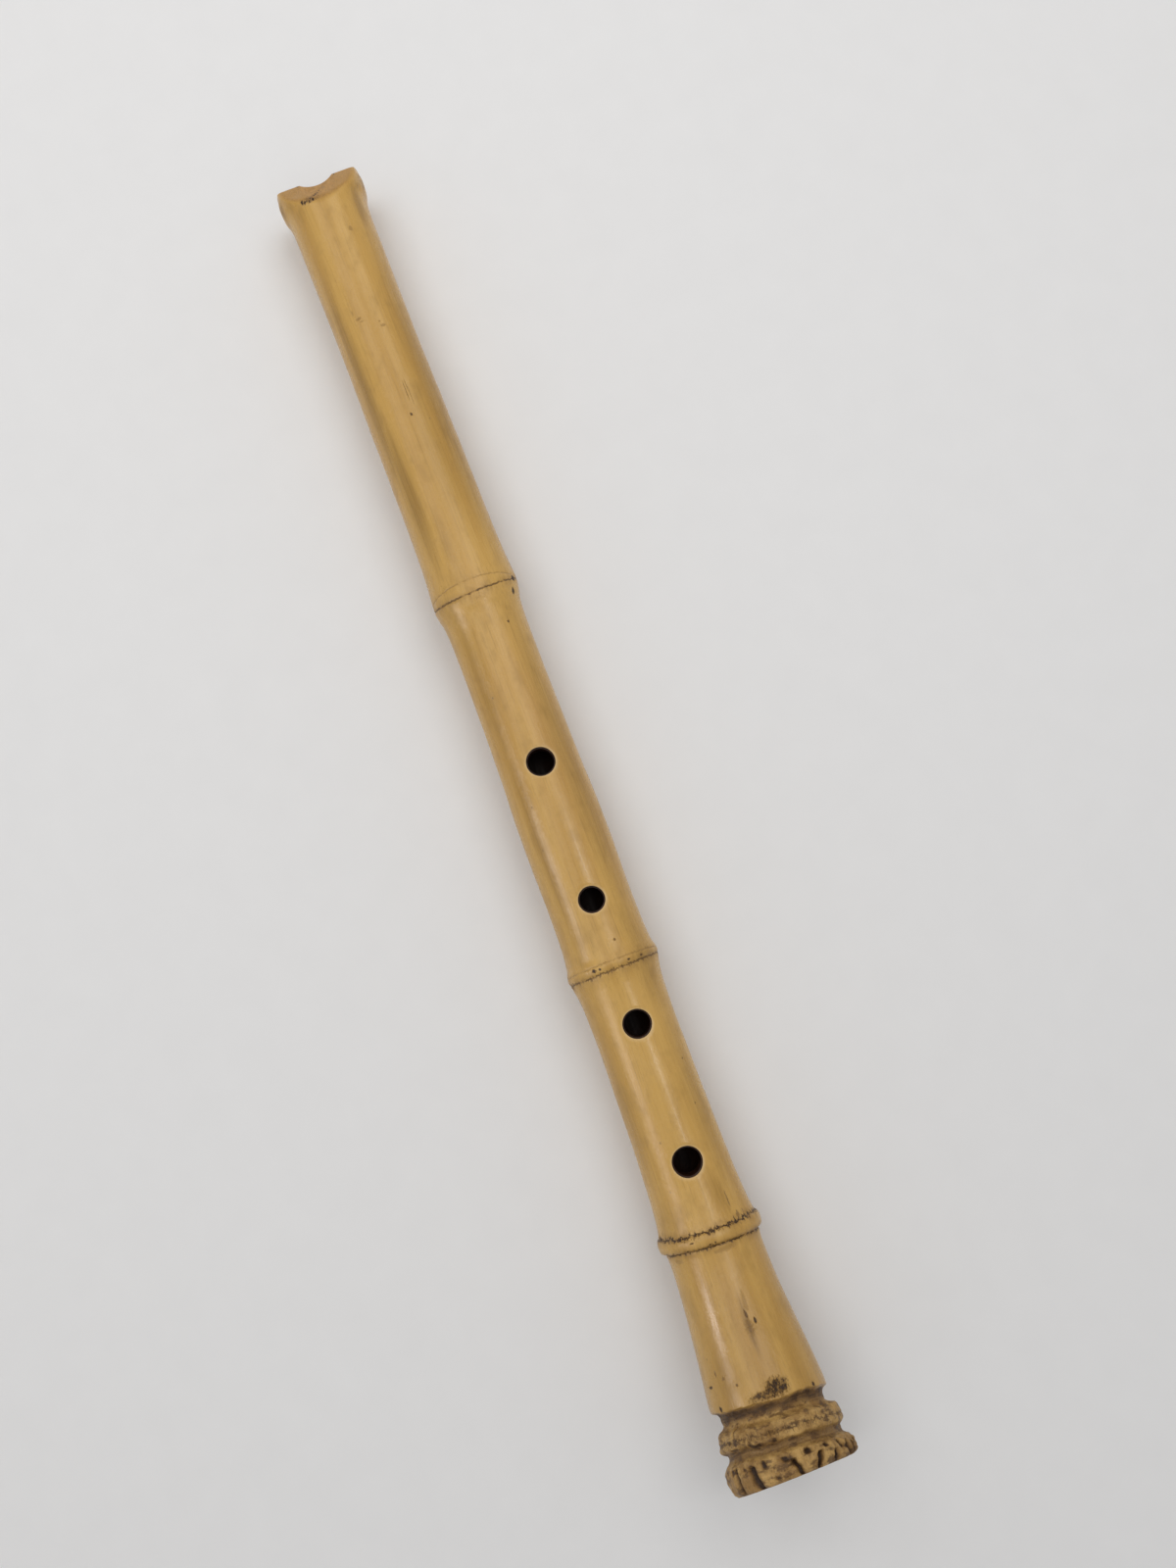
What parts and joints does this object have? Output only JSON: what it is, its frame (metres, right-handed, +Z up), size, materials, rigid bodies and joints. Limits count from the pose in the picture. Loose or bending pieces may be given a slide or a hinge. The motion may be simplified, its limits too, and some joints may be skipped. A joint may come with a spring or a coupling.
{
  "type": "shakuhachi",
  "caption": "End-blown bamboo flute with a carved root end, lacquered bore, oblique blowing edge, front finger holes and a thumb hole; it lies on its back.",
  "frame": {"origin": "on the surface that the flute lies on, under the middle of its bounding box", "axes": "+X from the mouth end to the root end, +Y across the flute, +Z up through the front finger holes"},
  "size_m": [0.5514, 0.049, 0.0655],
  "materials": {
    "bamboo": "aged golden bamboo skin, hand polished to a low gloss, darker in the node seams and in the carved root",
    "lacquer": "black natural lacquer over a hard ground coat, glossy",
    "horn": "pale horn close to the bamboo in colour, smooth, low gloss"
  },
  "bodies": {
    "root": {"culm": "bamboo", "bore_lining": "lacquer", "blowing_edge_insert": "horn"}
  },
  "joints": []
}
